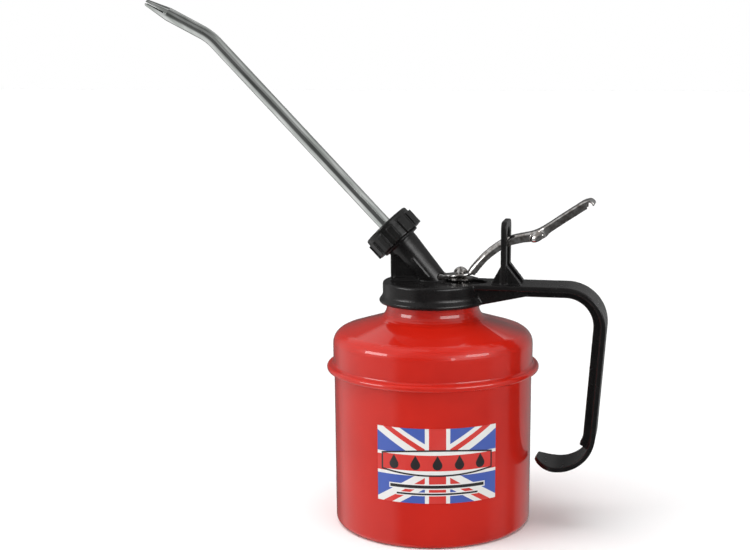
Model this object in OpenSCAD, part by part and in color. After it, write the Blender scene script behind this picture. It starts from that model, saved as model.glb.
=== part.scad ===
// Thumb-lever oil can: a steel can, a screw-on moulded pump head with its handle, a sprung
// plunger pump inside, and a bent steel spout held by a ribbed nut.
// Origin at the centre of the can's base; +Z up, spout towards -X, handle towards +X.

/* [Can] */
// Radius of the can's wall
can_r = 45; // [44:0.5:46]
// Height of the shoulder seam's middle
seam_z = 72.5; // [71:0.5:74]
// How far the rolled seam stands out from the wall
seam_out = 3.3; // [2.8:0.1:3.6]
// Thickness of the can's sheet metal
sheet = 0.8; // [0.6:0.1:1]
// Slope of the shoulder in degrees
shoulder_slope = 17; // [15:0.5:20]

/* [Label] */
// Height of the label's lower edge
label_low = 21.2; // [18:0.2:24]
// Height of the label's upper edge
label_high = 54.6; // [52:0.2:58]
// Turn of the label's middle from the front towards the handle, in degrees
label_mid = 13; // [0:0.5:20]
// Angle that the label covers, in degrees
label_span = 69; // [60:1:80]

/* [Head] */
// Radius of the cap's drum
cap_r = 22.7; // [22.5:0.1:23.5]
// Radius of the cap's lower bead
bead_r = 24.3; // [24:0.1:25]
// Height of the cap's top face
cap_top = 111.4; // [111:0.1:112]

/* [Handle] */
// Width of the handle's strip
strip_w = 21; // [18:0.5:22]
// Thickness of the strip alone
strip_t = 2.2; // [1.8:0.1:2.6]
// Depth of strip and rib together
handle_t = 5.8; // [5:0.1:6.2]
// Width of the stiffening rib
rib_w = 6; // [4:0.5:8]
// Lean of the grip in degrees
grip_lean = 4; // [3:0.5:5]

/* [Spout] */
// Outer radius of the spout tube
tube_r = 3; // [2.8:0.1:3.1]
// Inner radius of the spout tube
tube_in = 2.2; // [2:0.1:2.4]
// Angle of the spout from the vertical
spout_tilt = 44; // [44:0.5:45]
// Length of spout tube in front of the nut's face, up to the bend
spout_reach = 115.2; // [100:0.1:130]
// Bend near the tip in degrees
tip_bend = 19; // [15:1:25]
// Length from the bend to the tip
tip_len = 33; // [30:1:40]

/* [Mechanism] */
// Distance of the pump's axis from the can's axis
pump_x = 12.7; // [12.5:0.1:12.8]
// Radius of the plunger rod
rod_r = 2; // [1.9:0.05:2]
// Bore radius of the pump barrel
barrel_in = 4.5; // [4.4:0.05:4.5]
// Running clearance on round fits
fit = 0.06; // [0.03:0.01:0.08]

/* [Hidden] */
$fn = 96;

red = [0.85, 0.12, 0.08];
black = [0.08, 0.08, 0.09];
zinc = [0.66, 0.68, 0.66];
bright = [0.82, 0.83, 0.85];
brass = [0.78, 0.64, 0.32];
rubber = [0.13, 0.13, 0.14];

// Can
base_corner = 2.5;
upper_r = can_r + 0.4;
seam_t = 2.7;
seam_r = can_r + seam_out;
flange_r = seam_r - 1.1;
hem_round = 1.2;
hem_fillet = 1.2;
shoulder_corner = 6.45;
corner_z = 83.4;
neck_r = 20.9;
neck_top = 101.2;
neck_fillet = 6;
// Where the cone would meet the axis, and the height of the fillet that turns it into the neck
cone_top = corner_z + shoulder_corner / cos(shoulder_slope)
           + (upper_r - shoulder_corner) * tan(shoulder_slope);
fillet_z = cone_top - (neck_r + neck_fillet) * tan(shoulder_slope) + neck_fillet / cos(shoulder_slope);
gap = 0.05;
label_t = 0.15;

// Neck ring and its screw thread
ring_r = 19.4;
ring_in = 18.6;
ring_low = 94;
ring_top = 106;
thread_crest = 20.4;
female_crest = 19.85;
thread_pitch = 4;
thread_base = 1.6;
thread_tip = 0.8;
thread_turns = 0.65;
thread_low = 102.5;
thread_steps = 36;

// Cap
cap_in = 20.9;
cap_low = 101.6;
cap_round = 1.2;
roof_low = 107.3;
recess_r = 7.4;
recess_floor = 109.3;

// Spout seat: the nut's front face, and the seat's stations behind it along the spout's axis
nut_face = [-21.7, 0, 136.15];
nut_r = 11.6;
nut_rib_r = 12.5;
nut_h = 9.7;
nut_chamfer = 2.5;
nut_ribs = 12;
nut_bore = 9.06;
mouth_r = 9;
mouth_s = 5.2;
seat_flange_r = 9.35;
seat_flange_s = 10.8;
neck_top_r = 6.9;
neck_top_s = 12.3;
neck_low = [1.1, 0, 110.9];
neck_low_r = 5.8;
neck_low_tilt = 37;
duct_r = 1.6;
duct_end = [4.2, 0, 107.3];
web_x = -18.5;
web_half = 5;
pocket_depth = 1.1;
ridge_r = 0.5;

// Handle path, outer face: a straight top, a bend, a leaning grip and a hook
bend_c = [60, 93];
bend_r = 18.4;
hook_c = [57.6, 44.8];
hook_r = 17.55;
hook_end = -125.5;
hook_rib_end = -31;

// Spout tip
tip_taper = 11.5;
tip_r = 1.5;
tip_in = 0.7;
tip_lap = 0.5;
swage = 0.02;
slit_len = 10;
slit_w = 0.7;

// Lever post
post_x = 31.8;
post_t = 2.4;
post_w = 19;
post_top = 139.4;
post_corner = 3.5;
slot_w = 9;
slot_low = 113.6;
slot_top = 136.6;
gusset_y = 5.7;
gusset_t = 2.2;

// Lever
pivot = [4.2, 0, 113.6];
roll_r = 1.25;
notch_r = roll_r + 0.07;
lever_tilt = 7;
lever_t = 1.3;
lever_w = 8;
pad_w = 13;
pad_r = 6.3;
flange_d = 3.9;
lever_clear = 2.4;
swell_r = 2.6;
hole_gap = 0.35;

// Pump
gland_flange_r = 6;
gland_flange_t = 0.7;
gland_low = 102.5;
seal_low = 104;
seal_r = 3.4;
seal_h = 2;
barrel_r = 5.5;
barrel_low = 74;
block_low = 64;
bridge_w = 6;
inlet_seat_z = 67;
delivery_seat_z = 69;
ball_r = 2;
ball_lift = 0.02;
chamber_r = 2.6;
seat_r = 1.4;
passage_z = 66.9;
passage_r = 0.9;
bleed_r = 0.6;
delivery_x = 4.2;
delivery_wall_r = 3.6;
delivery_wall_h = 17;
delivery_r = 2;
delivery_in = 1.3;
delivery_low = 79.5;
delivery_top = 108.6;
dip_r = 2.4;
dip_in = 1.7;
dip_low = 6;
dip_socket = 1.5;
strainer_r = 4.2;
strainer_low = 3;
strainer_h = 8;
gauze_t = 0.8;
dome_r = 3.2;
dome_rise = 2.15;
dome_low = 115.85;
pin_r = 1.2;
collar_r = 5.4;
collar_low = 112.45;
collar_h = 0.7;
crown_h = 0.45;
knurl_teeth = 36;
knurl_w = 0.44;
piston_low = 86;
piston_h = 7;
groove_low = 2.5;
groove_h = 2.4;
groove_r = 3.3;

module along_spout(s = 0) {
    translate(nut_face)
        rotate([0, -spout_tilt, 0])
            translate([0, 0, -s])
                children();
}

module ring(r_out, r_in, h) {
    difference() {
        cylinder(r = r_out, h = h);
        translate([0, 0, -1])
            cylinder(r = r_in, h = h + 2);
    }
}

// Points of an arc in degrees
function arc(c, r, from, to, n = 12) =
    [for (i = [0:n]) c + r * [cos(from + (to - from) * i / n), sin(from + (to - from) * i / n)]];

function reversed(list) = [for (i = [len(list) - 1:-1:0]) list[i]];

// ---------------------------------------------------------------- can

// Half-section of the body cup: a flat base with a stiffening groove, wall and top flange
module can_body() {
    color(red)
        rotate_extrude()
            polygon(concat(
                [[0, 0], [34, 0], [34.8, 1], [37.2, 1], [38, 0]],
                arc([can_r - base_corner, base_corner], base_corner, -90, 0, 8),
                [[can_r, seam_z - 0.45], [flange_r, seam_z - 0.45], [flange_r, seam_z + 0.4],
                 [can_r - sheet, seam_z + 0.4]],
                arc([can_r - base_corner, base_corner], base_corner - sheet, 0, -90, 8),
                [[38.4, sheet], [37.6, 1 + sheet], [34.4, 1 + sheet], [33.6, sheet], [0, sheet]]));
}

// Line of the shoulder's outer face, moved inwards by t
function shoulder(t) =
    concat([[upper_r - t, seam_z + seam_t / 2 + hem_fillet]],
           arc([upper_r - shoulder_corner, corner_z], shoulder_corner - t, 0, 90 - shoulder_slope, 8),
           arc([neck_r + neck_fillet, fillet_z], neck_fillet + t, -90 - shoulder_slope, -180, 6),
           [[neck_r - t, neck_top]]);

// Shoulder pressing: its hem is folded over and under the body's flange
module can_top() {
    hem_top = seam_z + seam_t / 2;
    hem_low = seam_z - seam_t / 2;
    color(red)
        rotate_extrude()
            polygon(concat(
                [[upper_r - sheet, hem_top - 0.8]],
                shoulder(sheet),
                reversed(shoulder(0)),
                arc([upper_r + hem_fillet, hem_top + hem_fillet], hem_fillet, 195, 270, 5),
                arc([seam_r - hem_round, hem_top - hem_round], hem_round, 90, 0, 6),
                arc([seam_r - hem_round, hem_low + hem_round], hem_round, 0, -90, 6),
                [[can_r + gap, hem_low], [can_r + gap, seam_z - 0.45 - gap],
                 [flange_r + gap, seam_z - 0.45 - gap], [flange_r + gap, seam_z + 0.4 + gap],
                 [upper_r - sheet, seam_z + 0.4 + gap]]));
}

// A ridge that climbs round the axis, of trapezoid section, from radius r0 out to r1
module helix_ridge(r0, r1, base, tip, pitch, turns, z0, steps) {
    n = ceil(turns * steps);
    way = sign(r1 - r0);
    points = [for (i = [0:n])
                  let (a = i * 360 / steps, z = z0 + pitch * i / steps,
                       grow = min(1, i / 4, (n - i) / 4), rt = r0 + (r1 - r0) * max(grow, 0.05))
                  for (p = [[r0, -way * base / 2], [rt, -way * tip / 2],
                            [rt, way * tip / 2], [r0, way * base / 2]])
                      [p[0] * cos(a), p[0] * sin(a), z + p[1]]];
    sides = [for (i = [0:n - 1])
                 for (j = [0:3])
                     [i * 4 + j, i * 4 + (j + 1) % 4, (i + 1) * 4 + (j + 1) % 4, (i + 1) * 4 + j]];
    polyhedron(points, concat([[3, 2, 1, 0]], sides, [[n * 4, n * 4 + 1, n * 4 + 2, n * 4 + 3]]));
}

module neck_ring() {
    color(zinc) {
        translate([0, 0, ring_low])
            ring(ring_r, ring_in, ring_top - ring_low);
        translate([0, 0, ring_low])
            ring(neck_r - sheet - gap, ring_in, neck_top - ring_low);
        helix_ridge(ring_r - 0.2, thread_crest, thread_base, thread_tip, thread_pitch,
                    thread_turns, thread_low, thread_steps);
    }
}

// Paper-thin label wrapped on the wall
module can_label() {
    color([0.2, 0.3, 0.7])
        translate([0, 0, label_low])
            rotate([0, 0, -90 + label_mid - label_span / 2])
                rotate_extrude(angle = label_span)
                    translate([can_r, 0])
                        square([label_t, label_high - label_low]);
}

module cap_gasket() {
    color(rubber)
        translate([0, 0, ring_top])
            ring(cap_in - gap, ring_in, roof_low - ring_top);
}

// ---------------------------------------------------------------- head moulding

// Line of the handle's outer face moved inwards by t, from the cap to the hook's end
function handle_line(t, end) =
    concat([[18, cap_top - t]],
           arc(bend_c, bend_r - t, 90, -grip_lean, 18),
           arc(hook_c, hook_r - t, -grip_lean, end, 24));

module handle_band(t0, t1, w, end) {
    rotate([90, 0, 0])
        linear_extrude(height = w, center = true)
            polygon(concat(handle_line(t0, end), reversed(handle_line(t1, end))));
}

// Rounds the hook's tip in plan
module tip_trim() {
    tip_x = hook_c[0] + hook_r * cos(hook_end) - 0.1;
    translate([tip_x, 0, 20])
        difference() {
            translate([-5, -strip_w, 0])
                cube([5 + strip_w / 2, 2 * strip_w, 20]);
            translate([strip_w / 2, 0, -1])
                cylinder(r = strip_w / 2, h = 22);
        }
}

module handle() {
    difference() {
        handle_band(0, strip_t, strip_w, hook_end);
        tip_trim();
    }
    handle_band(strip_t - 0.1, handle_t, rib_w, hook_rib_end);
    // Root: a deeper wall that runs out under the strip
    rotate([90, 0, 0])
        linear_extrude(height = 14, center = true)
            polygon([[18, 101.8], [23.5, 102.1], [44, 106.6], [44, cap_top - 1], [18, cap_top - 1]]);
}

module cap_shell() {
    edge = 1.1;
    rotate_extrude()
        polygon(concat(
            [[0, roof_low], [cap_in, roof_low], [cap_in, cap_low]],
            arc([bead_r - cap_round, cap_low + cap_round], cap_round, -90, 45, 8),
            [[cap_r + 0.25, 104.9], [cap_r, 106.1]],
            arc([cap_r - edge, cap_top - edge], edge, 0, 90, 5),
            [[0, cap_top]]));
}

module spout_neck() {
    // Screwed mouth, its stop flange and the short round neck behind it
    along_spout(seat_flange_s)
        cylinder(r = mouth_r, h = seat_flange_s - mouth_s);
    along_spout(seat_flange_s)
        cylinder(r = seat_flange_r, h = 0.9);
    hull() {
        along_spout(neck_top_s)
            cylinder(r = neck_top_r, h = 1.6, $fn = 48);
        translate(neck_low)
            rotate([0, -neck_low_tilt, 0])
                translate([0, 0, -3])
                    cylinder(r = neck_low_r, h = 3, $fn = 48);
    }
    // Web down to the cap, with a moulded pocket on each side
    rotate([90, 0, 0])
        linear_extrude(height = 2 * web_half, center = true)
            polygon([[web_x, cap_top - 1], [web_x, 124.5], [-15.5, 128], [-12, 127], [2, cap_top - 1]]);
    // Fine ridge along each side of the neck
    for (side = [-1, 1])
        hull()
            for (end = [[-8.1, 6.5, 121.9], [-1, 5.9, 113.6]])
                translate([end[0], side * end[1], end[2]])
                    sphere(r = ridge_r, $fn = 16);
}

module web_pockets() {
    for (side = [-1, 1])
        translate([0, side * (web_half - pocket_depth / 2 + 0.05), 0])
            rotate([90, 0, 0])
                linear_extrude(height = pocket_depth + 0.1, center = true)
                    polygon([[-17, cap_top + 1.4], [-17, 122.6], [-14.2, 124.4], [-4.8, cap_top + 1.4]]);
}

module lever_post() {
    difference() {
        translate([post_x, 0, 0])
            rotate([90, 0, 90])
                linear_extrude(height = post_t)
                    polygon(concat(
                        [[-post_w / 2, cap_top - 1.5], [post_w / 2, cap_top - 1.5]],
                        arc([post_w / 2 - post_corner, post_top - post_corner], post_corner, 0, 90, 6),
                        arc([-post_w / 2 + post_corner, post_top - post_corner], post_corner, 90, 180, 6)));
        translate([post_x - 1, -slot_w / 2, slot_low])
            cube([post_t + 2, slot_w, slot_top - slot_low - 2]);
        translate([post_x - 1, 0, slot_top - slot_w / 2])
            rotate([0, 90, 0])
                cylinder(r = slot_w / 2, h = post_t + 2);
    }
    for (side = [-1, 1])
        translate([0, side * gusset_y, 0])
            rotate([90, 0, 0])
                linear_extrude(height = gusset_t, center = true)
                    polygon([[27.6, cap_top - 1], [27.6, cap_top + 0.9], [post_x + 0.2, 120.4],
                             [post_x + post_t - 0.2, 120.4], [40.4, cap_top + 0.9], [40.4, cap_top - 1]]);
}

// Clearance for the plate's tilt where it leaves the notch
module lever_notch() {
    reach = 4.5;
    opening = lever_t / 2 + 0.16;
    spread = reach * tan(lever_tilt + 0.8);
    translate(pivot)
        rotate([90, 0, 0]) {
            cylinder(r = notch_r, h = 16, center = true);
            linear_extrude(height = 16, center = true)
                polygon([[0, -opening], [reach, -opening - spread], [reach, opening + spread],
                         [0, opening]]);
        }
}

module head_moulding() {
    color(black)
        difference() {
            union() {
                difference() {
                    union() {
                        cap_shell();
                        handle();
                        lever_post();
                        spout_neck();
                    }
                    translate([0, 0, cap_low - 2])
                        cylinder(r = cap_in, h = roof_low - cap_low + 2);
                    web_pockets();
                }
                // Female thread, half a turn and so half a pitch away from the neck's
                rotate([0, 0, 180])
                    helix_ridge(cap_in + 0.3, female_crest, thread_base, thread_tip, thread_pitch,
                                thread_turns, thread_low, thread_steps);
            }
            // Well for the plate, collar and gland
            translate([13.2, 0, recess_floor])
                cylinder(r = recess_r, h = 10);
            translate([13.2, -recess_r, recess_floor])
                cube([4, 2 * recess_r, 4]);
            translate([17.2, 0, recess_floor])
                cylinder(r = recess_r, h = 4);
            translate([pump_x, 0, roof_low - 1])
                cylinder(r = barrel_in, h = 10);
            lever_notch();
            // Oil duct from the mouth down to the delivery tube
            along_spout(neck_top_s)
                cylinder(r = duct_r, h = 12);
            hull() {
                along_spout(neck_top_s)
                    sphere(r = duct_r, $fn = 24);
                translate(duct_end)
                    sphere(r = duct_r, $fn = 24);
            }
            translate([delivery_x, 0, roof_low - 1])
                cylinder(r = 2, h = 2.4);
        }
}

// ---------------------------------------------------------------- pump

module gland_bush() {
    color(brass)
        translate([pump_x, 0, 0])
            difference() {
                union() {
                    translate([0, 0, recess_floor])
                        cylinder(r = gland_flange_r, h = gland_flange_t);
                    translate([0, 0, gland_low])
                        cylinder(r = barrel_in, h = recess_floor - gland_low);
                }
                translate([0, 0, gland_low - 1])
                    cylinder(r = rod_r + fit, h = 12);
                translate([0, 0, seal_low])
                    cylinder(r = seal_r, h = seal_h);
            }
}

module rod_seal() {
    color(rubber)
        translate([pump_x, 0, seal_low])
            ring(seal_r, rod_r + 0.02, seal_h);
}

module pump_barrel() {
    color(brass)
        translate([pump_x, 0, barrel_low])
            ring(barrel_r, barrel_in, roof_low - barrel_low);
}

// Cast block under the barrel: inlet valve under the bore, delivery valve beside it
module valve_block() {
    color(brass)
        difference() {
            union() {
                translate([pump_x, 0, block_low])
                    cylinder(r = barrel_r, h = barrel_low - block_low);
                translate([delivery_x, 0, block_low])
                    cylinder(r = delivery_wall_r, h = delivery_wall_h);
                translate([delivery_x, -bridge_w / 2, block_low])
                    cube([pump_x - delivery_x, bridge_w, barrel_low - block_low]);
            }
            translate([pump_x, 0, barrel_low - 2])
                cylinder(r = barrel_in, h = 12);
            translate([pump_x, 0, barrel_low])
                cylinder(r = barrel_r + gap, h = 12);
            translate([pump_x, 0, inlet_seat_z])
                cylinder(r = chamber_r, h = 10);
            translate([pump_x, 0, block_low - 1])
                cylinder(r = seat_r, h = 10);
            translate([pump_x, 0, block_low - 1])
                cylinder(r = dip_r + 0.02, h = dip_socket + 1);
            translate([delivery_x, 0, delivery_seat_z])
                cylinder(r = chamber_r, h = 16);
            translate([delivery_x, 0, block_low + 2])
                cylinder(r = seat_r, h = 8);
            // Cross passage under the delivery seat
            translate([delivery_x, 0, passage_z])
                rotate([0, 90, 0])
                    cylinder(r = passage_r, h = pump_x - delivery_x - 1.5);
            translate([pump_x - 2, 0, passage_z])
                cylinder(r = bleed_r, h = 12);
        }
}

// Slotted disc that keeps the inlet ball in its chamber
module ball_retainer() {
    color(brass)
        translate([pump_x, 0, barrel_low - 2])
            difference() {
                cylinder(r = barrel_in, h = 1);
                for (a = [0:90:270])
                    rotate([0, 0, a])
                        translate([2.2, 0, -1])
                            cylinder(r = 1, h = 3);
            }
}

module inlet_ball() {
    lift = sqrt(ball_r * ball_r - seat_r * seat_r);
    color(bright)
        translate([pump_x, 0, inlet_seat_z + lift + ball_lift])
            sphere(r = ball_r);
}

module delivery_ball() {
    lift = sqrt(ball_r * ball_r - seat_r * seat_r);
    color(bright)
        translate([delivery_x, 0, delivery_seat_z + lift + ball_lift])
            sphere(r = ball_r);
}

module delivery_tube() {
    color(brass)
        translate([delivery_x, 0, delivery_low])
            difference() {
                union() {
                    cylinder(r = delivery_r, h = delivery_top - delivery_low);
                    cylinder(r = chamber_r, h = 1.5);
                }
                translate([0, 0, -1])
                    cylinder(r = delivery_in, h = delivery_top - delivery_low + 2);
            }
}

module dip_tube() {
    color(zinc)
        translate([pump_x, 0, dip_low])
            ring(dip_r, dip_in, block_low + dip_socket - dip_low);
}

// Gauze cap on the foot of the dip tube
module strainer() {
    color(bright)
        translate([pump_x, 0, strainer_low])
            difference() {
                cylinder(r = strainer_r, h = strainer_h);
                translate([0, 0, gauze_t])
                    cylinder(r = strainer_r - gauze_t, h = strainer_h - 2 * gauze_t);
                translate([0, 0, strainer_h - 2])
                    cylinder(r = dip_r, h = 3);
                for (a = [0:60:300])
                    for (z = [2, 4.4])
                        rotate([0, 0, a])
                            translate([2, 0, z])
                                rotate([0, 90, 0])
                                    cylinder(r = 0.7, h = 4);
            }
}

// Round wire wound about the z axis, its ends on the planes z0 and z1
module coil(r, wire, z0, z1, turns, steps = 18, sides = 6) {
    n = turns * steps;
    low = z0 + wire;
    rise = z1 - z0 - 2 * wire;
    points = [for (i = [0:n])
                  let (a = i * 360 / steps, z = low + rise * i / n)
                  for (j = [0:sides - 1])
                      let (b = j * 360 / sides)
                      [(r + wire * cos(b)) * cos(a), (r + wire * cos(b)) * sin(a), z + wire * sin(b)]];
    faces = [for (i = [0:n - 1])
                 for (j = [0:sides - 1])
                     [i * sides + j, (i + 1) * sides + j, (i + 1) * sides + (j + 1) % sides,
                      i * sides + (j + 1) % sides]];
    polyhedron(points, concat([[for (j = [0:sides - 1]) j]], faces,
                              [[for (j = [sides - 1:-1:0]) n * sides + j]]));
}

module pump_spring() {
    color(bright)
        translate([pump_x, 0, 0])
            coil(3.6, 0.4, barrel_low - 1, piston_low, 6);
}

module delivery_spring() {
    color(bright)
        translate([delivery_x, 0, 0])
            coil(1.7, 0.2, 72.6, delivery_low, 5);
}

module plunger_rod() {
    color(bright)
        translate([pump_x, 0, 0]) {
            translate([0, 0, piston_low + piston_h])
                cylinder(r = rod_r, h = dome_low - piston_low - piston_h);
            translate([0, 0, piston_low + 1])
                cylinder(r = pin_r, h = piston_h - 1);
            translate([0, 0, dome_low])
                cylinder(r = pin_r, h = 1.1);
        }
}

module dome_nut() {
    ball = (dome_r * dome_r + dome_rise * dome_rise) / (2 * dome_rise);
    color(bright)
        translate([pump_x, 0, dome_low])
            difference() {
                rotate_extrude()
                    polygon(concat([[0, 0], [dome_r, 0]],
                                   arc([0, dome_rise - ball], ball, acos(dome_r / ball), 90, 8)));
                translate([0, 0, -0.5])
                    cylinder(r = pin_r, h = 1.6);
            }
}

// Knurled collar that the lever's plate bears on, with a crowned top
module lift_collar() {
    color(bright)
        translate([pump_x, 0, collar_low])
            difference() {
                union() {
                    cylinder(r = collar_r, h = collar_h);
                    translate([0, 0, collar_h])
                        cylinder(r1 = 3.4, r2 = 2.6, h = crown_h);
                    for (i = [0:knurl_teeth - 1])
                        rotate([0, 0, i * 360 / knurl_teeth])
                            translate([collar_r - 0.1, -knurl_w / 2, 0])
                                cube([0.35, knurl_w, collar_h]);
                }
                translate([0, 0, -1])
                    cylinder(r = rod_r, h = 4);
            }
}

module piston() {
    color(brass)
        translate([pump_x, 0, piston_low])
            difference() {
                cylinder(r = barrel_in - fit, h = piston_h);
                translate([0, 0, groove_low])
                    ring(barrel_r, groove_r, groove_h);
                translate([0, 0, 1])
                    cylinder(r = pin_r, h = piston_h);
            }
}

module cup_seal() {
    color(rubber)
        translate([pump_x, 0, piston_low + groove_low])
            ring(barrel_in - 0.02, groove_r, groove_h);
}

// ---------------------------------------------------------------- lever

// Upper face of the lever in side view, from the foot plate's end to the thumb pad's end
neck_line = concat(
    arc([14.2, 118.1], 2.6, -82, -28, 6),
    [[17.9, 118.4], [20.1, 120.9], [22.5, 123.3], [25, 125.6], [27.6, 127.8], [30.3, 129.9],
     [33, 131.7], [35.8, 132.8], [40, 133.9], [44.2, 134.7], [47.6, 136]]);
arm_line = concat(
    [[47, 135.4], [51.4, 138.1], [67.6, 148.9]],
    arc([69.1, 146.6], 2.7, 112, 5, 7));

// Unit normal at point i of a line, pointing to its right-hand side
function side_of(line, i) =
    let (a = line[max(i - 1, 0)], b = line[min(i + 1, len(line) - 1)], d = (b - a) / norm(b - a))
    [d[1], -d[0]];

function moved(line, t) = [for (i = [0:len(line) - 1]) line[i] + t * side_of(line, i)];

module sheet_band(line, t0, t1, w) {
    rotate([90, 0, 0])
        linear_extrude(height = w, center = true)
            polygon(concat(moved(line, t0), reversed(moved(line, t1))));
}

// U-shaped pressing along a line
module channel(line, w, depth) {
    sheet_band(line, 0, lever_t, w);
    for (side = [-1, 1])
        translate([0, side * (w - lever_t) / 2, 0])
            sheet_band(line, 0, depth, lever_t);
}

module thumb_lever() {
    foot = pump_x - pivot[0];
    color(bright) {
        // Rolled end, tongue and round plate, tilted up from the pivot
        translate(pivot)
            rotate([0, -lever_tilt, 0])
                difference() {
                    union() {
                        rotate([90, 0, 0])
                            cylinder(r = roll_r, h = 8, center = true);
                        translate([0, -4, -lever_t / 2])
                            cube([foot + 2, 8, lever_t]);
                        translate([foot, 0, -lever_t / 2])
                            cylinder(r = pad_r, h = lever_t);
                    }
                    translate([foot, 0, -3])
                        cylinder(r = rod_r + hole_gap, h = 6);
                }
        difference() {
            channel(neck_line, lever_w, flange_d);
            // Flanges trimmed to clear the well's floor with the lever pressed
            translate(pivot)
                rotate([0, -2 * lever_tilt, 0])
                    translate([0, -lever_w, -lever_clear - 10])
                        cube([30, 2 * lever_w, 10]);
            translate([pump_x - 4, -lever_w, 110])
                cube([7.2, 2 * lever_w, 4.1]);
            translate([pump_x, 0, 110])
                cylinder(r = dome_r + 0.5, h = 12);
        }
        channel([for (i = [0:2]) arm_line[i]], pad_w, 3.4);
        sheet_band(arm_line, 0, lever_t, pad_w);
        // Pressed swelling where the channel widens
        for (side = [-1, 1])
            translate([48.3, side * 4.6, 133])
                sphere(r = swell_r);
    }
}

// ---------------------------------------------------------------- spout

module spout_tube() {
    bend_round = 24;
    tangent = bend_round * tan(tip_bend / 2);
    foot = mouth_s - 1;
    straight = tip_len - tangent - tip_taper;
    color(zinc)
        along_spout() {
            difference() {
                translate([0, 0, -foot])
                    cylinder(r = tube_r, h = spout_reach + foot - tangent);
                translate([0, 0, -foot - 1])
                    cylinder(r = tube_in, h = spout_reach + foot - tangent + 2);
            }
            translate([-bend_round, 0, spout_reach - tangent])
                rotate([90, 0, 0])
                    rotate_extrude(angle = tip_bend)
                        translate([bend_round, 0])
                            difference() {
                                circle(r = tube_r);
                                circle(r = tube_in);
                            }
            // Swaged tip, lapped over the bend's end, tapered and slit across
            translate([0, 0, spout_reach])
                rotate([0, -tip_bend, 0])
                    translate([0, 0, tangent])
                        difference() {
                            rotate_extrude()
                                polygon([[tube_in - swage, -tip_lap], [tube_r + swage, -tip_lap],
                                         [tube_r + swage, straight], [tip_r, straight + tip_taper],
                                         [tip_in, straight + tip_taper], [tube_in - swage, straight]]);
                            translate([-slit_w / 2, -tube_r - 1, straight + tip_taper - slit_len])
                                cube([slit_w, 2 * tube_r + 2, slit_len + 1]);
                        }
        }
}

module spout_collar() {
    color(zinc)
        along_spout(mouth_s - 1)
            ring(8.2, tube_r + 0.01, 1.5);
}

module spout_seal() {
    color(rubber)
        along_spout(mouth_s)
            ring(8.4, duct_r, 1);
}

module slip_washer() {
    color(zinc)
        along_spout(2.6)
            ring(8.6, tube_r + 0.2, 0.4);
}

// Ribbed nut over the spout's collar
module spout_nut() {
    color(black)
        along_spout(nut_h)
            difference() {
                union() {
                    cylinder(r = nut_r, h = nut_h - nut_chamfer);
                    translate([0, 0, nut_h - nut_chamfer])
                        cylinder(r = nut_r, h = nut_chamfer - 0.6);
                    translate([0, 0, nut_h - 0.6])
                        cylinder(r1 = nut_r, r2 = nut_r - 0.5, h = 0.6);
                    for (i = [0:nut_ribs - 1])
                        rotate([0, 0, (i + 0.5) * 360 / nut_ribs])
                            translate([nut_r - 1, -1.6, 0])
                                cube([nut_rib_r - nut_r + 1, 3.2, nut_h - nut_chamfer]);
                }
                translate([0, 0, -1])
                    cylinder(r = nut_bore, h = nut_h - 2 + 1);
                translate([0, 0, -1])
                    cylinder(r = tube_r + fit, h = nut_h + 2);
            }
}

can_body();
can_top();
neck_ring();
can_label();
cap_gasket();
head_moulding();
gland_bush();
rod_seal();
pump_barrel();
valve_block();
ball_retainer();
delivery_tube();
dip_tube();
strainer();
inlet_ball();
delivery_ball();
delivery_spring();
pump_spring();
plunger_rod();
dome_nut();
lift_collar();
piston();
cup_seal();
thumb_lever();
spout_tube();
spout_collar();
spout_seal();
slip_washer();
spout_nut();
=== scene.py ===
import math

import bmesh
import bpy
from mathutils import Matrix, Vector


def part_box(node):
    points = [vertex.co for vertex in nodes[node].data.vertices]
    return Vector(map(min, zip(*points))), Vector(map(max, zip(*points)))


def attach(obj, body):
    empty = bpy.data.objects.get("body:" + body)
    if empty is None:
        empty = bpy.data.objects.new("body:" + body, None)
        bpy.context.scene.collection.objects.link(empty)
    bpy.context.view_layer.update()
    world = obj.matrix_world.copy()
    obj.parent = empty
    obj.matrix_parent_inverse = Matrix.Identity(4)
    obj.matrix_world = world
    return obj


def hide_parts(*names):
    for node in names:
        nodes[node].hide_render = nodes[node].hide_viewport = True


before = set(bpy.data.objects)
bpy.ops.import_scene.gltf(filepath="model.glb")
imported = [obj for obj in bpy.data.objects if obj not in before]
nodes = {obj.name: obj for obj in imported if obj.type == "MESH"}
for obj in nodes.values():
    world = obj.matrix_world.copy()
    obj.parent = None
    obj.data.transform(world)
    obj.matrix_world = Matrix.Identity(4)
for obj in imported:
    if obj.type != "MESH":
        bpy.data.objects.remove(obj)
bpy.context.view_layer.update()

MM = 0.001


# ---------------------------------------------------------------- camera

AXIS_DISTANCE = 0.5629
EYE_HEIGHT = 0.2046
AZIMUTH = math.radians(10.5)
PITCH = math.radians(11.86)
FOCAL_LENGTH = 60.6
SENSOR_WIDTH = 36
SHIFT = (-0.0773, 0.0792)

camera_data = bpy.data.cameras.new("view")
camera_data.lens = FOCAL_LENGTH
camera_data.sensor_width = SENSOR_WIDTH
camera_data.shift_x, camera_data.shift_y = SHIFT
camera = bpy.data.objects.new("view", camera_data)
camera.location = (AXIS_DISTANCE * math.sin(AZIMUTH), -AXIS_DISTANCE * math.cos(AZIMUTH), EYE_HEIGHT)
camera.rotation_euler = (math.pi / 2 - PITCH, 0, AZIMUTH)
bpy.context.scene.collection.objects.link(camera)
bpy.context.scene.camera = camera
bpy.context.scene.view_settings.view_transform = "Standard"


# ---------------------------------------------------------------- helpers for nodes and objects

def shader(name):
    """A new node material, its node tree and its Principled shader."""
    made = bpy.data.materials.new(name)
    made.use_nodes = True
    return made, made.node_tree, made.node_tree.nodes["Principled BSDF"]


def new_object(name, data):
    made = bpy.data.objects.new(name, data)
    bpy.context.scene.collection.objects.link(made)
    return made


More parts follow.
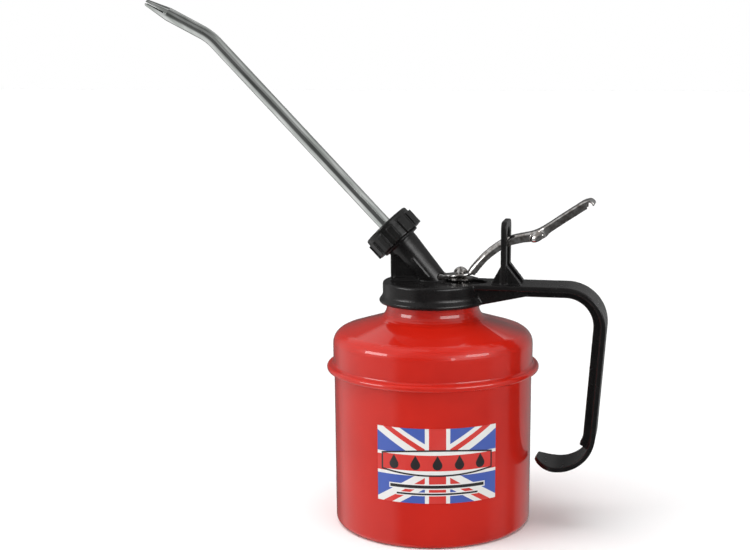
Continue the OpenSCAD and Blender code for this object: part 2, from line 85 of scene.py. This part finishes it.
def feed(tree, socket, value):
    """Puts a plain number or another node's output into a socket."""
    if isinstance(value, (int, float)):
        socket.default_value = value
    else:
        tree.links.new(value, socket)


def math_node(tree, operation, *values):
    """A Math node on sockets or plain numbers; returns its output."""
    made = tree.nodes.new("ShaderNodeMath")
    made.operation = operation
    for socket, value in zip(made.inputs, values):
        feed(tree, socket, value)
    return made.outputs[0]


def turn_about_axis(tree, split):
    """Angle round the can's axis in radians: 0 in front (-Y), positive towards the handle."""
    forward = math_node(tree, "MULTIPLY", split.outputs["Y"], -1.0)
    return math_node(tree, "ARCTAN2", split.outputs["X"], forward)


def ramp_node(tree, value, stops):
    """A smooth grey ramp through (position, level) stops; returns its output."""
    made = tree.nodes.new("ShaderNodeValToRGB")
    made.color_ramp.interpolation = "EASE"
    elements = made.color_ramp.elements
    while len(elements) < len(stops):
        elements.new(0.5)
    for element, (position, level) in zip(elements, stops):
        element.position = position
        element.color = (level, level, level, 1)
    tree.links.new(value, made.inputs["Fac"])
    return made.outputs["Color"]


def mixed(tree, factor, low, high):
    """low where the factor is 0, high where it is 1."""
    made = tree.nodes.new("ShaderNodeMix")
    tree.links.new(factor, made.inputs["Factor"])
    feed(tree, made.inputs["A"], low)
    feed(tree, made.inputs["B"], high)
    return made.outputs["Result"]


# ---------------------------------------------------------------- light and floor

# Brightness of the studio round the object: degrees from the camera's side, positive to its right
ROOM = ((-180, 0.16), (-150, 0.22), (-122, 0.95), (-52, 0.85), (-34, 0.16), (62, 0.14), (76, 0.42),
        (90, 0.42), (102, 0.12), (108, 0.12), (117, 0.45), (128, 0.60), (150, 0.50), (165, 0.35),
        (180, 0.16))
# Brightness by height: sine of the angle above the horizon
ROOM_HEIGHT = ((-1.0, 1.0), (-0.55, 1.0), (-0.22, 0.72), (0.35, 0.68), (1.0, 0.8))
# High panels: by height, and by the same degrees round the object
OVERHEAD = ((-1.0, 0.0), (0.40, 0.0), (0.50, 0.85), (0.84, 0.85), (0.92, 0.40), (1.0, 0.35))
OVERHEAD_ROUND = ((-180, 0.25), (-172, 0.25), (-164, 0.8), (-60, 0.75), (-20, 0.35), (30, 0.4),
                  (55, 0.85), (114, 0.85), (123, 0.02), (158, 0.04), (162, 0.9), (172, 0.9),
                  (176, 0.25), (180, 0.25))
ROOM_STRENGTH = 0.9
# Soft light on matt surfaces: the same all round, and what the bright sides add
SOFT_LEVEL = 0.12
SOFT_SIDES = 0.34

FLOOR_REACH = 12.0
PAPER_TONES = ((0.978, 0.978, 0.978), (0.986, 0.986, 0.986))
CEILING_STRENGTH = 2.5
CEILING_SPREAD = math.radians(70)
CEILING_TURN = (math.radians(8), math.radians(-12), 0)
# Soft boxes: side, place, size, power, and the power of a twin that only shines in the highlights
BOXES = (("left", (-1.0, -0.58, 0.55), (0.6, 0.24), 2.7, 9.0),
         ("right", (0.85, -0.62, 0.5), (0.95, 0.30), 3.2, 18.0))
BOX_TARGET = Vector((0, 0, 0.08))


def by_angle(stops):
    return [(angle / 360 + 0.5, level) for angle, level in stops]


def by_sine(stops):
    return [(sine / 2 + 0.5, level) for sine, level in stops]


def studio_world():
    """White to the eye, but the object sees soft panels at its sides and overhead in a dimmer room."""
    world = bpy.data.worlds.new("studio")
    world.use_nodes = True
    tree = world.node_tree
    background = tree.nodes["Background"]
    where = tree.nodes.new("ShaderNodeTexCoord")
    split = tree.nodes.new("ShaderNodeSeparateXYZ")
    tree.links.new(where.outputs["Generated"], split.inputs["Vector"])
    turn = math_node(tree, "SUBTRACT", turn_about_axis(tree, split), AZIMUTH)
    around = math_node(tree, "ADD", math_node(tree, "DIVIDE", turn, 2 * math.pi), 0.5)
    around = math_node(tree, "FRACT", around)
    height = math_node(tree, "MULTIPLY_ADD", split.outputs["Z"], 0.5, 0.5)
    room = ramp_node(tree, around, by_angle(ROOM))
    room_height = ramp_node(tree, height, by_sine(ROOM_HEIGHT))
    overhead = math_node(tree, "MULTIPLY", ramp_node(tree, height, by_sine(OVERHEAD)),
                         ramp_node(tree, around, by_angle(OVERHEAD_ROUND)))
    level = math_node(tree, "MAXIMUM", math_node(tree, "MULTIPLY", room, room_height), overhead)
    mirrored = math_node(tree, "MULTIPLY", level, ROOM_STRENGTH)
    soft = math_node(tree, "MULTIPLY_ADD", room, SOFT_SIDES, SOFT_LEVEL)
    path = tree.nodes.new("ShaderNodeLightPath")
    lit = mixed(tree, path.outputs["Is Glossy Ray"], soft, mirrored)
    seen = mixed(tree, path.outputs["Is Camera Ray"], lit, 1.0)
    tree.links.new(seen, background.inputs["Strength"])
    background.inputs["Color"].default_value = (1, 1, 1, 1)
    bpy.context.scene.world = world


def area_light(name, place, size, power):
    """A rectangular lamp that faces the can and that the camera doesn't see."""
    data = bpy.data.lights.new(name, "AREA")
    data.shape = "RECTANGLE"
    data.size, data.size_y = size
    data.energy = power
    lamp = new_object(name, data)
    lamp.location = place
    lamp.visible_camera = False
    lamp.rotation_euler = (BOX_TARGET - Vector(place)).to_track_quat("-Z", "Y").to_euler()
    return lamp


def paper_floor():
    bm = bmesh.new()
    corners = [bm.verts.new((x * FLOOR_REACH, y * FLOOR_REACH, 0))
               for x, y in ((-1, -1), (1, -1), (1, 1), (-1, 1))]
    bm.faces.new(corners)
    mesh = bpy.data.meshes.new("floor")
    bm.to_mesh(mesh)
    bm.free()
    floor = new_object("floor", mesh)
    paper, tree, principled = shader("paper")
    two_tones(tree, object_noise(tree, 6), *PAPER_TONES, principled.inputs["Base Color"])
    principled.inputs["Roughness"].default_value = 1.0
    principled.inputs["Specular IOR Level"].default_value = 0.0
    mesh.materials.append(paper)
    floor.visible_glossy = False


def studio():
    studio_world()
    paper_floor()
    sun = bpy.data.lights.new("ceiling", "SUN")
    sun.energy = CEILING_STRENGTH
    sun.angle = CEILING_SPREAD
    ceiling = new_object("ceiling", sun)
    ceiling.rotation_euler = CEILING_TURN
    ceiling.visible_glossy = False
    for side, place, size, power, shine in BOXES:
        area_light(side + "_box", place, size, power)
        twin = area_light(side + "_shine", place, size, shine)
        twin.visible_diffuse = False


# ---------------------------------------------------------------- materials

def object_noise(tree, scale, detail=3, stretch=None):
    """Noise over the piece's own coordinates; stretch is the scale and turn of its grain."""
    where = tree.nodes.new("ShaderNodeTexCoord")
    noise = tree.nodes.new("ShaderNodeTexNoise")
    noise.inputs["Scale"].default_value = scale
    noise.inputs["Detail"].default_value = detail
    if stretch:
        turned = tree.nodes.new("ShaderNodeMapping")
        turned.vector_type = "TEXTURE"
        turned.inputs["Scale"].default_value = stretch[0]
        turned.inputs["Rotation"].default_value = stretch[1]
        tree.links.new(where.outputs["Object"], turned.inputs["Vector"])
        tree.links.new(turned.outputs["Vector"], noise.inputs["Vector"])
    else:
        tree.links.new(where.outputs["Object"], noise.inputs["Vector"])
    return noise


def two_tones(tree, noise, low, high, socket):
    """Colours from low to high over the middle of the noise's range."""
    ramp = tree.nodes.new("ShaderNodeValToRGB")
    for element, position, colour in zip(ramp.color_ramp.elements, (0.35, 0.65), (low, high)):
        element.position = position
        element.color = (*colour, 1)
    tree.links.new(noise.outputs["Fac"], ramp.inputs["Fac"])
    tree.links.new(ramp.outputs["Color"], socket)


def two_levels(tree, noise, low, high, socket):
    """Numbers from low to high over the middle of the noise's range."""
    level = tree.nodes.new("ShaderNodeMapRange")
    level.inputs["From Min"].default_value = 0.3
    level.inputs["From Max"].default_value = 0.7
    level.inputs["To Min"].default_value = low
    level.inputs["To Max"].default_value = high
    tree.links.new(noise.outputs["Fac"], level.inputs["Value"])
    tree.links.new(level.outputs["Result"], socket)


def bumped(tree, principled, noise, depth):
    bump = tree.nodes.new("ShaderNodeBump")
    bump.inputs["Distance"].default_value = depth
    bump.inputs["Strength"].default_value = 1.0
    tree.links.new(noise.outputs["Fac"], bump.inputs["Height"])
    tree.links.new(bump.outputs["Normal"], principled.inputs["Normal"])


def finish_material(name, low, high, tone_scale, rough, rough_scale, bump_scale, bump_depth,
                    metallic=0.0, coat=0.0, specular=0.5, stretch=None):
    """A material whose colour, roughness and fine bumps vary; low and high are its two tones."""
    made, tree, principled = shader(name)
    principled.inputs["Metallic"].default_value = metallic
    principled.inputs["Specular IOR Level"].default_value = specular
    principled.inputs["Coat Weight"].default_value = coat
    principled.inputs["Coat Roughness"].default_value = 0.03
    two_tones(tree, object_noise(tree, tone_scale, 4, stretch), low, high,
              principled.inputs["Base Color"])
    two_levels(tree, object_noise(tree, rough_scale, 3, stretch), rough[0], rough[1],
               principled.inputs["Roughness"])
    bumped(tree, principled, object_noise(tree, bump_scale, 2, stretch), bump_depth)
    return made


# The spout's drawn grain: seven times as long along the tube as across it
ALONG_SPOUT = ((1, 1, 7), (0, math.radians(-44), 0))

enamel = finish_material("red_enamel", (0.535, 0.0110, 0.0035), (0.59, 0.0145, 0.0050), 30,
                         (0.34, 0.40), 90, 420, 0.000012, coat=1.0, specular=0.12)
nylon = finish_material("black_nylon", (0.0066, 0.0061, 0.0063), (0.0096, 0.0089, 0.0089), 160,
                        (0.20, 0.28), 220, 1500, 0.000008, specular=0.30)
nut_black = finish_material("nut_black", (0.0055, 0.0055, 0.0053), (0.0085, 0.0085, 0.0081), 200,
                            (0.18, 0.26), 300, 1500, 0.000008, specular=0.38)
zinc = finish_material("zinc_plate", (0.50, 0.53, 0.505), (0.80, 0.82, 0.805), 420, (0.10, 0.18),
                       400, 900, 0.000003, metallic=1.0, stretch=ALONG_SPOUT)
plate = finish_material("bright_plate", (0.37, 0.335, 0.31), (0.78, 0.77, 0.76), 420, (0.06, 0.16),
                        420, 900, 0.000006, metallic=1.0)
brass = finish_material("brass", (0.52, 0.36, 0.13), (0.66, 0.48, 0.19), 260, (0.22, 0.36), 320,
                        1600, 0.000004, metallic=1.0)
rubber = finish_material("rubber", (0.012, 0.012, 0.013), (0.022, 0.022, 0.022), 300, (0.55, 0.7),
                         300, 3000, 0.00001)
spring = finish_material("spring_steel", (0.42, 0.42, 0.43), (0.56, 0.56, 0.57), 500, (0.2, 0.3),
                         500, 2500, 0.000003, metallic=1.0)


# ---------------------------------------------------------------- label, sizes in mm

INK_BLUE = (0.050, 0.105, 0.44)
INK_WHITE = (0.80, 0.80, 0.78)
INK_RED = (0.66, 0.030, 0.022)
INK_BLACK = (0.020, 0.018, 0.020)

LABEL_TURN = math.radians(13)
LABEL_RADIUS = 45.15
LABEL_HALF_WIDTH = 27.2
# Slanted stripes: how far their edges lie from the label's diagonals
SLANT_WHITE = (-1.5, 5.6)
SLANT_RED = (1.5, 3.7)
# Half widths of the upright and the level bar, and how far the level one lies above the middle
BARS_WHITE = (5.45, 5.0)
BARS_RED = (3.7, 3.6)
LEVEL_BAR_RISE = 0.7
# Cartouche: half width, half height in the middle and its loss at the ends, outline, red band, rise
CARTOUCHE_HALF = 25.2
CARTOUCHE_HEIGHT = 6.0
CARTOUCHE_BOW = 2.1
CARTOUCHE_LINE = 0.75
CARTOUCHE_BAND = 3.5
CARTOUCHE_RISE = 1.4
# Oil drops along the band: a round part below a straight-sided tip
DROP_COUNT = 5
DROP_STEP = 9.6
DROP_R = 2.1
DROP_SINK = 1.0
DROP_TOP = 3.4
DROP_SHOULDER = -0.2
DROP_TAPER = 0.55
# Plain rules: low and high edge, half length, and the width of the white halo round them
RULES = ((-9.9, -8.5, 21.0, 0.5), (-12.9, -12.1, 18.0, 0.4))


def between(tree, value, low, high):
    return math_node(tree, "MULTIPLY", math_node(tree, "GREATER_THAN", value, low),
                     math_node(tree, "LESS_THAN", value, high))


def below(tree, value, limit):
    return math_node(tree, "LESS_THAN", value, limit)


def either(tree, one, other):
    return math_node(tree, "MAXIMUM", one, other)


def both(tree, one, other):
    return math_node(tree, "MULTIPLY", one, other)


def painted(tree, mask, under, over):
    """over where the mask is 1, under elsewhere; each is a colour or a socket."""
    made = tree.nodes.new("ShaderNodeMix")
    made.data_type = "RGBA"
    tree.links.new(mask, made.inputs["Factor"])
    for socket, value in ((made.inputs[6], under), (made.inputs[7], over)):
        if isinstance(value, tuple):
            socket.default_value = (*value, 1)
        else:
            tree.links.new(value, socket)
    return made.outputs[2]


def striped(tree, side, v, half_height):
    """Blue ground with crossed slanted stripes, and an upright and a level bar over them."""
    up = math_node(tree, "ABSOLUTE", v)
    slant = math.atan2(half_height, LABEL_HALF_WIDTH)
    across = math_node(tree, "SUBTRACT", math_node(tree, "MULTIPLY", up, math.cos(slant)),
                       math_node(tree, "MULTIPLY", side, math.sin(slant)))
    ink = painted(tree, between(tree, across, *SLANT_WHITE), INK_BLUE, INK_WHITE)
    ink = painted(tree, between(tree, across, *SLANT_RED), ink, INK_RED)
    level = math_node(tree, "ABSOLUTE", math_node(tree, "SUBTRACT", v, LEVEL_BAR_RISE))
    for (upright_half, level_half), colour in ((BARS_WHITE, INK_WHITE), (BARS_RED, INK_RED)):
        bars = either(tree, below(tree, side, upright_half), below(tree, level, level_half))
        ink = painted(tree, bars, ink, colour)
    return ink


def with_cartouche(tree, ink, side, v):
    """Black outline, bowed above and below, white inside it and a red band along its middle."""
    up = math_node(tree, "ABSOLUTE", v)
    bow = math_node(tree, "MULTIPLY", math_node(tree, "MULTIPLY", side, side),
                    -CARTOUCHE_BOW / CARTOUCHE_HALF ** 2)
    edge = math_node(tree, "ADD", bow, CARTOUCHE_HEIGHT)
    outer = both(tree, below(tree, side, CARTOUCHE_HALF), below(tree, up, edge))
    inner = both(tree, below(tree, side, CARTOUCHE_HALF - CARTOUCHE_LINE),
                 below(tree, up, math_node(tree, "SUBTRACT", edge, CARTOUCHE_LINE)))
    ink = painted(tree, outer, ink, INK_BLACK)
    ink = painted(tree, inner, ink, INK_WHITE)
    return painted(tree, both(tree, inner, below(tree, up, CARTOUCHE_BAND)), ink, INK_RED)


def with_drops(tree, ink, u, side, v):
    """A row of black oil drops, one to each step along the label."""
    row_half = DROP_STEP * DROP_COUNT / 2
    cell = math_node(tree, "FLOORED_MODULO", math_node(tree, "ADD", u, row_half), DROP_STEP)
    cell = math_node(tree, "SUBTRACT", cell, DROP_STEP / 2)
    low = math_node(tree, "ADD", v, DROP_SINK)
    distance = math_node(tree, "ADD", math_node(tree, "MULTIPLY", cell, cell),
                         math_node(tree, "MULTIPLY", low, low))
    round_part = below(tree, distance, DROP_R ** 2)
    tip_half = math_node(tree, "MULTIPLY", math_node(tree, "SUBTRACT", DROP_TOP, v), DROP_TAPER)
    tip = both(tree, below(tree, math_node(tree, "ABSOLUTE", cell), tip_half),
               between(tree, v, DROP_SHOULDER, DROP_TOP))
    drops = both(tree, either(tree, round_part, tip), below(tree, side, row_half))
    return painted(tree, drops, ink, INK_BLACK)


def with_rules(tree, ink, side, v):
    """Black rules with a white halo."""
    for low, high, length, halo in RULES:
        for margin, colour in ((halo, INK_WHITE), (0, INK_BLACK)):
            rule = both(tree, between(tree, v, low - margin, high + margin),
                        below(tree, side, length + margin))
            ink = painted(tree, rule, ink, colour)
    return ink


def label_material():
    """Printed sticker: crossed stripes, a plain cartouche with a row of oil drops, and two rules."""
    made, tree, principled = shader("printed_label")
    low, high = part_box("can_label")
    middle = (low.z + high.z) / 2 / MM
    where = tree.nodes.new("ShaderNodeTexCoord")
    split = tree.nodes.new("ShaderNodeSeparateXYZ")
    tree.links.new(where.outputs["Object"], split.inputs["Vector"])
    turn = math_node(tree, "SUBTRACT", turn_about_axis(tree, split), LABEL_TURN)
    u = math_node(tree, "MULTIPLY", turn, LABEL_RADIUS)
    v = math_node(tree, "SUBTRACT", math_node(tree, "DIVIDE", split.outputs["Z"], MM), middle)
    side = math_node(tree, "ABSOLUTE", u)
    ink = striped(tree, side, v, (high.z - low.z) / 2 / MM)
    raised = math_node(tree, "SUBTRACT", v, CARTOUCHE_RISE)
    ink = with_cartouche(tree, ink, side, raised)
    ink = with_drops(tree, ink, u, side, raised)
    ink = with_rules(tree, ink, side, v)
    tree.links.new(ink, principled.inputs["Base Color"])
    two_levels(tree, object_noise(tree, 260), 0.28, 0.38, principled.inputs["Roughness"])
    bumped(tree, principled, object_noise(tree, 700), 0.000008)
    principled.inputs["Coat Weight"].default_value = 0.4
    principled.inputs["Coat Roughness"].default_value = 0.12
    return made


label_print = label_material()
studio()

FINISH = {
    "can_body": enamel, "can_top": enamel, "neck_ring": zinc, "can_label": label_print,
    "cap_gasket": rubber, "head_moulding": nylon, "gland_bush": plate, "rod_seal": rubber,
    "pump_barrel": brass, "valve_block": brass, "ball_retainer": brass, "delivery_tube": brass,
    "dip_tube": zinc, "strainer": plate, "inlet_ball": spring, "delivery_ball": spring,
    "delivery_spring": spring, "pump_spring": spring, "plunger_rod": plate, "dome_nut": plate,
    "lift_collar": plate, "piston": brass, "cup_seal": rubber, "thumb_lever": plate,
    "spout_tube": zinc, "spout_collar": zinc, "spout_seal": rubber, "slip_washer": zinc,
    "spout_nut": nut_black,
}
for name, material in FINISH.items():
    mesh = nodes[name].data
    mesh.materials.clear()
    mesh.materials.append(material)


# ---------------------------------------------------------------- mouldings

def fused(bm, name, voxel, rounds, material, body, node):
    """Closed shells merged into one skin, its edges rounded as moulding or pressing leaves them."""
    mesh = bpy.data.meshes.new(name)
    bmesh.ops.triangulate(bm, faces=bm.faces[:])
    bmesh.ops.recalc_face_normals(bm, faces=bm.faces[:])
    bm.to_mesh(mesh)
    bm.free()
    made = new_object(name, mesh)
    remesh = made.modifiers.new("remesh", "REMESH")
    remesh.mode = "VOXEL"
    remesh.voxel_size = voxel
    relax = made.modifiers.new("relax", "SMOOTH")
    relax.factor = 0.5
    relax.iterations = rounds
    bpy.context.view_layer.update()
    graph = bpy.context.evaluated_depsgraph_get()
    final = bpy.data.meshes.new_from_object(made.evaluated_get(graph))
    made.modifiers.clear()
    made.data = final
    final.name = name
    for polygon in final.polygons:
        polygon.use_smooth = True
    final.materials.clear()
    final.materials.append(material)
    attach(made, body)
    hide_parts(node)


def softened(node, name, voxel, rounds, material, body):
    """The node's own shape with its sharp moulding edges rounded."""
    bm = bmesh.new()
    bm.from_mesh(nodes[node].data)
    bmesh.ops.remove_doubles(bm, verts=bm.verts[:], dist=0.00001)
    fused(bm, name, voxel, rounds, material, body, node)


# ---------------------------------------------------------------- thumb lever, sizes in mm

def arc_points(cx, cz, radius, start, end, steps):
    """Points of an arc in degrees, in the plane of spout and handle."""
    turns = [math.radians(start + (end - start) * i / steps) for i in range(steps + 1)]
    return [(cx + radius * math.cos(a), cz + radius * math.sin(a)) for a in turns]


def spline_points(points, per_span):
    """A smooth line through points (Catmull-Rom)."""
    made = []
    for i in range(len(points) - 1):
        p0, p1 = points[max(i - 1, 0)], points[i]
        p2, p3 = points[i + 1], points[min(i + 2, len(points) - 1)]
        for k in range(per_span):
            t = k / per_span
            made.append(tuple(
                0.5 * (2 * b + (c - a) * t + (2 * a - 5 * b + 4 * c - d) * t * t
                       + (3 * b - a - 3 * c + d) * t ** 3)
                for a, b, c, d in zip(p0, p1, p2, p3)))
    made.append(points[-1])
    return made


def step_between(value, low, high):
    """Smooth step: 0 up to low, 1 from high on."""
    t = min(1.0, max(0.0, (value - low) / (high - low)))
    return t * t * (3 - 2 * t)


def loft(bm, loops):
    """Closed skin through loops of equally many points, capped at both ends."""
    rings = [[bm.verts.new(p) for p in loop] for loop in loops]
    count = len(rings[0])
    for low, high in zip(rings, rings[1:]):
        for i in range(count):
            bm.faces.new((low[i], low[(i + 1) % count], high[(i + 1) % count], high[i]))
    bm.faces.new(rings[0][::-1])
    bm.faces.new(rings[-1])


def revolved(bm, profile, matrix, segments=64):
    """Ring swept from a closed (radius, height) profile that doesn't touch the axis."""
    rings = []
    for i in range(segments):
        a = 2 * math.pi * i / segments
        rings.append([bm.verts.new(matrix @ Vector((r * math.cos(a), r * math.sin(a), z)))
                      for r, z in profile])
    count = len(profile)
    for i in range(segments):
        low, high = rings[i], rings[(i + 1) % segments]
        for k in range(count):
            bm.faces.new((low[k], low[(k + 1) % count], high[(k + 1) % count], high[k]))


LEVER_PIVOT = (4.2, 113.6)
LEVER_TILT = math.radians(7)
LEVER_SHEET = 1.1
CURL_SHEET = 0.9
CURL_CENTRE = (69.5, 146.75)
CURL_R = 2.5
# The lever's top line in side view, from the foot plate to the curl at the thumb pad's end
LEVER_LINE = (
    [(16.1, 116.4), (16.7, 117.5), (17.8, 119.0), (19.9, 121.5), (22.2, 124.0), (24.7, 126.3),
     (27.4, 128.4), (30.2, 130.3), (33, 131.7), (35.8, 132.7), (40, 133.7), (44.2, 134.6),
     (47.8, 136.0), (51.4, 138.2), (56.8, 141.9), (62.2, 145.5), (66.8, 148.5)]
    + arc_points(*CURL_CENTRE, CURL_R, 108, 8, 6))
# Section along the line: half widths, flange depths and corner radii of arm, knee, pad and curl
ARM_HALF, PAD_HALF = 4.0, 6.5
ARM_DEPTH, KNEE_DEPTH, PAD_DEPTH = 3.9, 4.4, 3.6
ARM_CORNER, KNEE_CORNER, PAD_CORNER, CURL_CORNER = 2.6, 1.5, 1.0, 0.4
# Stretches of X over which the section changes
CORNER_SPAN = (31, 38)
KNEE_SPAN = (40, 47)
WIDEN_SPAN = (43.5, 50.5)
PAD_SPAN = (48.5, 51.5)
CURL_SPAN = (67.8, 68.8)
# Foot: the rolled end at the pivot, a tongue, and a round plate with the plunger's hole
ROLL_R, ROLL_LENGTH = 1.25, 7.9
TONGUE_X, TONGUE_LENGTH, TONGUE_WIDTH = 2.2, 4.6, 7.8
PLATE_X, PLATE_R, PLATE_HOLE, PLATE_EDGE = 8.5, 6.3, 2.35, 0.3
PLATE_HALF_THICK = 0.62
# Pressed swelling on each side of the knee: centre, half axes, its long axis and its broad face
SWELL_CENTRE = (47.4, 4.8, 133.0)
SWELL_AXES = (3.8, 2.4, 1.6)
SWELL_ALONG = (0.87, 0, 0.5)
SWELL_FACE = (-0.34, 0.80, 0.46)


def channel_section(half, depth, corner):
    """(across, down) outline of the pressing: an inverted U with rounded corners."""
    corner = min(corner, depth - 0.05)
    inner = max(corner - LEVER_SHEET, 0.05)
    turns = [i * math.pi / 12 for i in range(7)]
    outline = [(-half, depth)]
    outline += [(-half + corner - corner * math.cos(a), corner - corner * math.sin(a)) for a in turns]
    outline += [(half - corner + corner * math.sin(a), corner - corner * math.cos(a)) for a in turns]
    outline += [(half, depth), (half - LEVER_SHEET, depth)]
    outline += [(half - corner + inner * math.cos(a), corner - inner * math.sin(a)) for a in turns]
    outline += [(-half + corner - inner * math.sin(a), corner - inner * math.cos(a)) for a in turns]
    outline += [(-half + LEVER_SHEET, depth)]
    return outline


def lever_channel(bm):
    """The arm: a rounded channel that widens into the thumb pad and ends in a flat curl."""
    line = spline_points(LEVER_LINE, 5)
    loops = []
    for i, (x, z) in enumerate(line):
        (ax, az), (bx, bz) = line[max(i - 1, 0)], line[min(i + 1, len(line) - 1)]
        length = math.hypot(bx - ax, bz - az)
        nx, nz = (bz - az) / length, -(bx - ax) / length
        widen = step_between(x, *WIDEN_SPAN)
        curl = step_between(x, *CURL_SPAN)
        half = ARM_HALF + (PAD_HALF - ARM_HALF) * widen
        depth = (ARM_DEPTH + (KNEE_DEPTH - ARM_DEPTH) * step_between(x, *KNEE_SPAN)
                 + (PAD_DEPTH - KNEE_DEPTH) * step_between(x, *PAD_SPAN))
        depth = depth * (1 - curl) + CURL_SHEET * curl
        corner = (ARM_CORNER + (KNEE_CORNER - ARM_CORNER) * step_between(x, *CORNER_SPAN)
                  + (PAD_CORNER - KNEE_CORNER) * widen)
        corner = corner * (1 - curl) + CURL_CORNER * curl
        loops.append([(MM * (x + nx * down), MM * across, MM * (z + nz * down))
                      for across, down in channel_section(half, depth, corner)])
    loft(bm, loops)


def lever_foot(bm):
    """Rolled end, tongue and round plate, tilted about the pivot."""
    foot = (Matrix.Translation((MM * LEVER_PIVOT[0], 0, MM * LEVER_PIVOT[1]))
            @ Matrix.Rotation(-LEVER_TILT, 4, "Y"))
    half, face = PLATE_HALF_THICK, PLATE_R - PLATE_EDGE
    rim = [(PLATE_HOLE, -half), (face, -half), (PLATE_R, -half + PLATE_EDGE),
           (PLATE_R, half - PLATE_EDGE), (face, half), (PLATE_HOLE, half)]
    revolved(bm, [(MM * r, MM * z) for r, z in rim],
             foot @ Matrix.Translation((MM * PLATE_X, 0, 0)))
    tongue = (Matrix.Translation((MM * TONGUE_X, 0, 0))
              @ Matrix.Diagonal((MM * TONGUE_LENGTH, MM * TONGUE_WIDTH, MM * 2 * half, 1)))
    bmesh.ops.create_cube(bm, size=1, matrix=foot @ tongue)
    bmesh.ops.create_cone(bm, cap_ends=True, segments=40, radius1=ROLL_R * MM, radius2=ROLL_R * MM,
                          depth=ROLL_LENGTH * MM,
                          matrix=foot @ Matrix.Rotation(math.pi / 2, 4, "X"))


def lever_swellings(bm):
    """A flattened bulge on each side, its broad face looking outwards and up towards the foot."""
    x, y, z = SWELL_CENTRE
    for side in (-1, 1):
        outward = Vector((SWELL_FACE[0], side * SWELL_FACE[1], SWELL_FACE[2])).normalized()
        along = Vector(SWELL_ALONG)
        along = (along - outward * along.dot(outward)).normalized()
        turn = Matrix((along, outward.cross(along), outward)).transposed().to_4x4()
        place = Matrix.Translation((MM * x, side * y * MM, MM * z))
        bmesh.ops.create_icosphere(bm, subdivisions=4, radius=MM,
                                   matrix=place @ turn @ Matrix.Diagonal((*SWELL_AXES, 1)))


def lever_pressing():
    bm = bmesh.new()
    lever_channel(bm)
    lever_foot(bm)
    lever_swellings(bm)
    fused(bm, "lever_pressing", 0.20 * MM, 5, plate, "lever", "thumb_lever")


softened("head_moulding", "head_casting", 0.34 * MM, 2, nylon, "head")
softened("spout_nut", "ribbed_nut", 0.25 * MM, 3, nut_black, "nut")
lever_pressing()
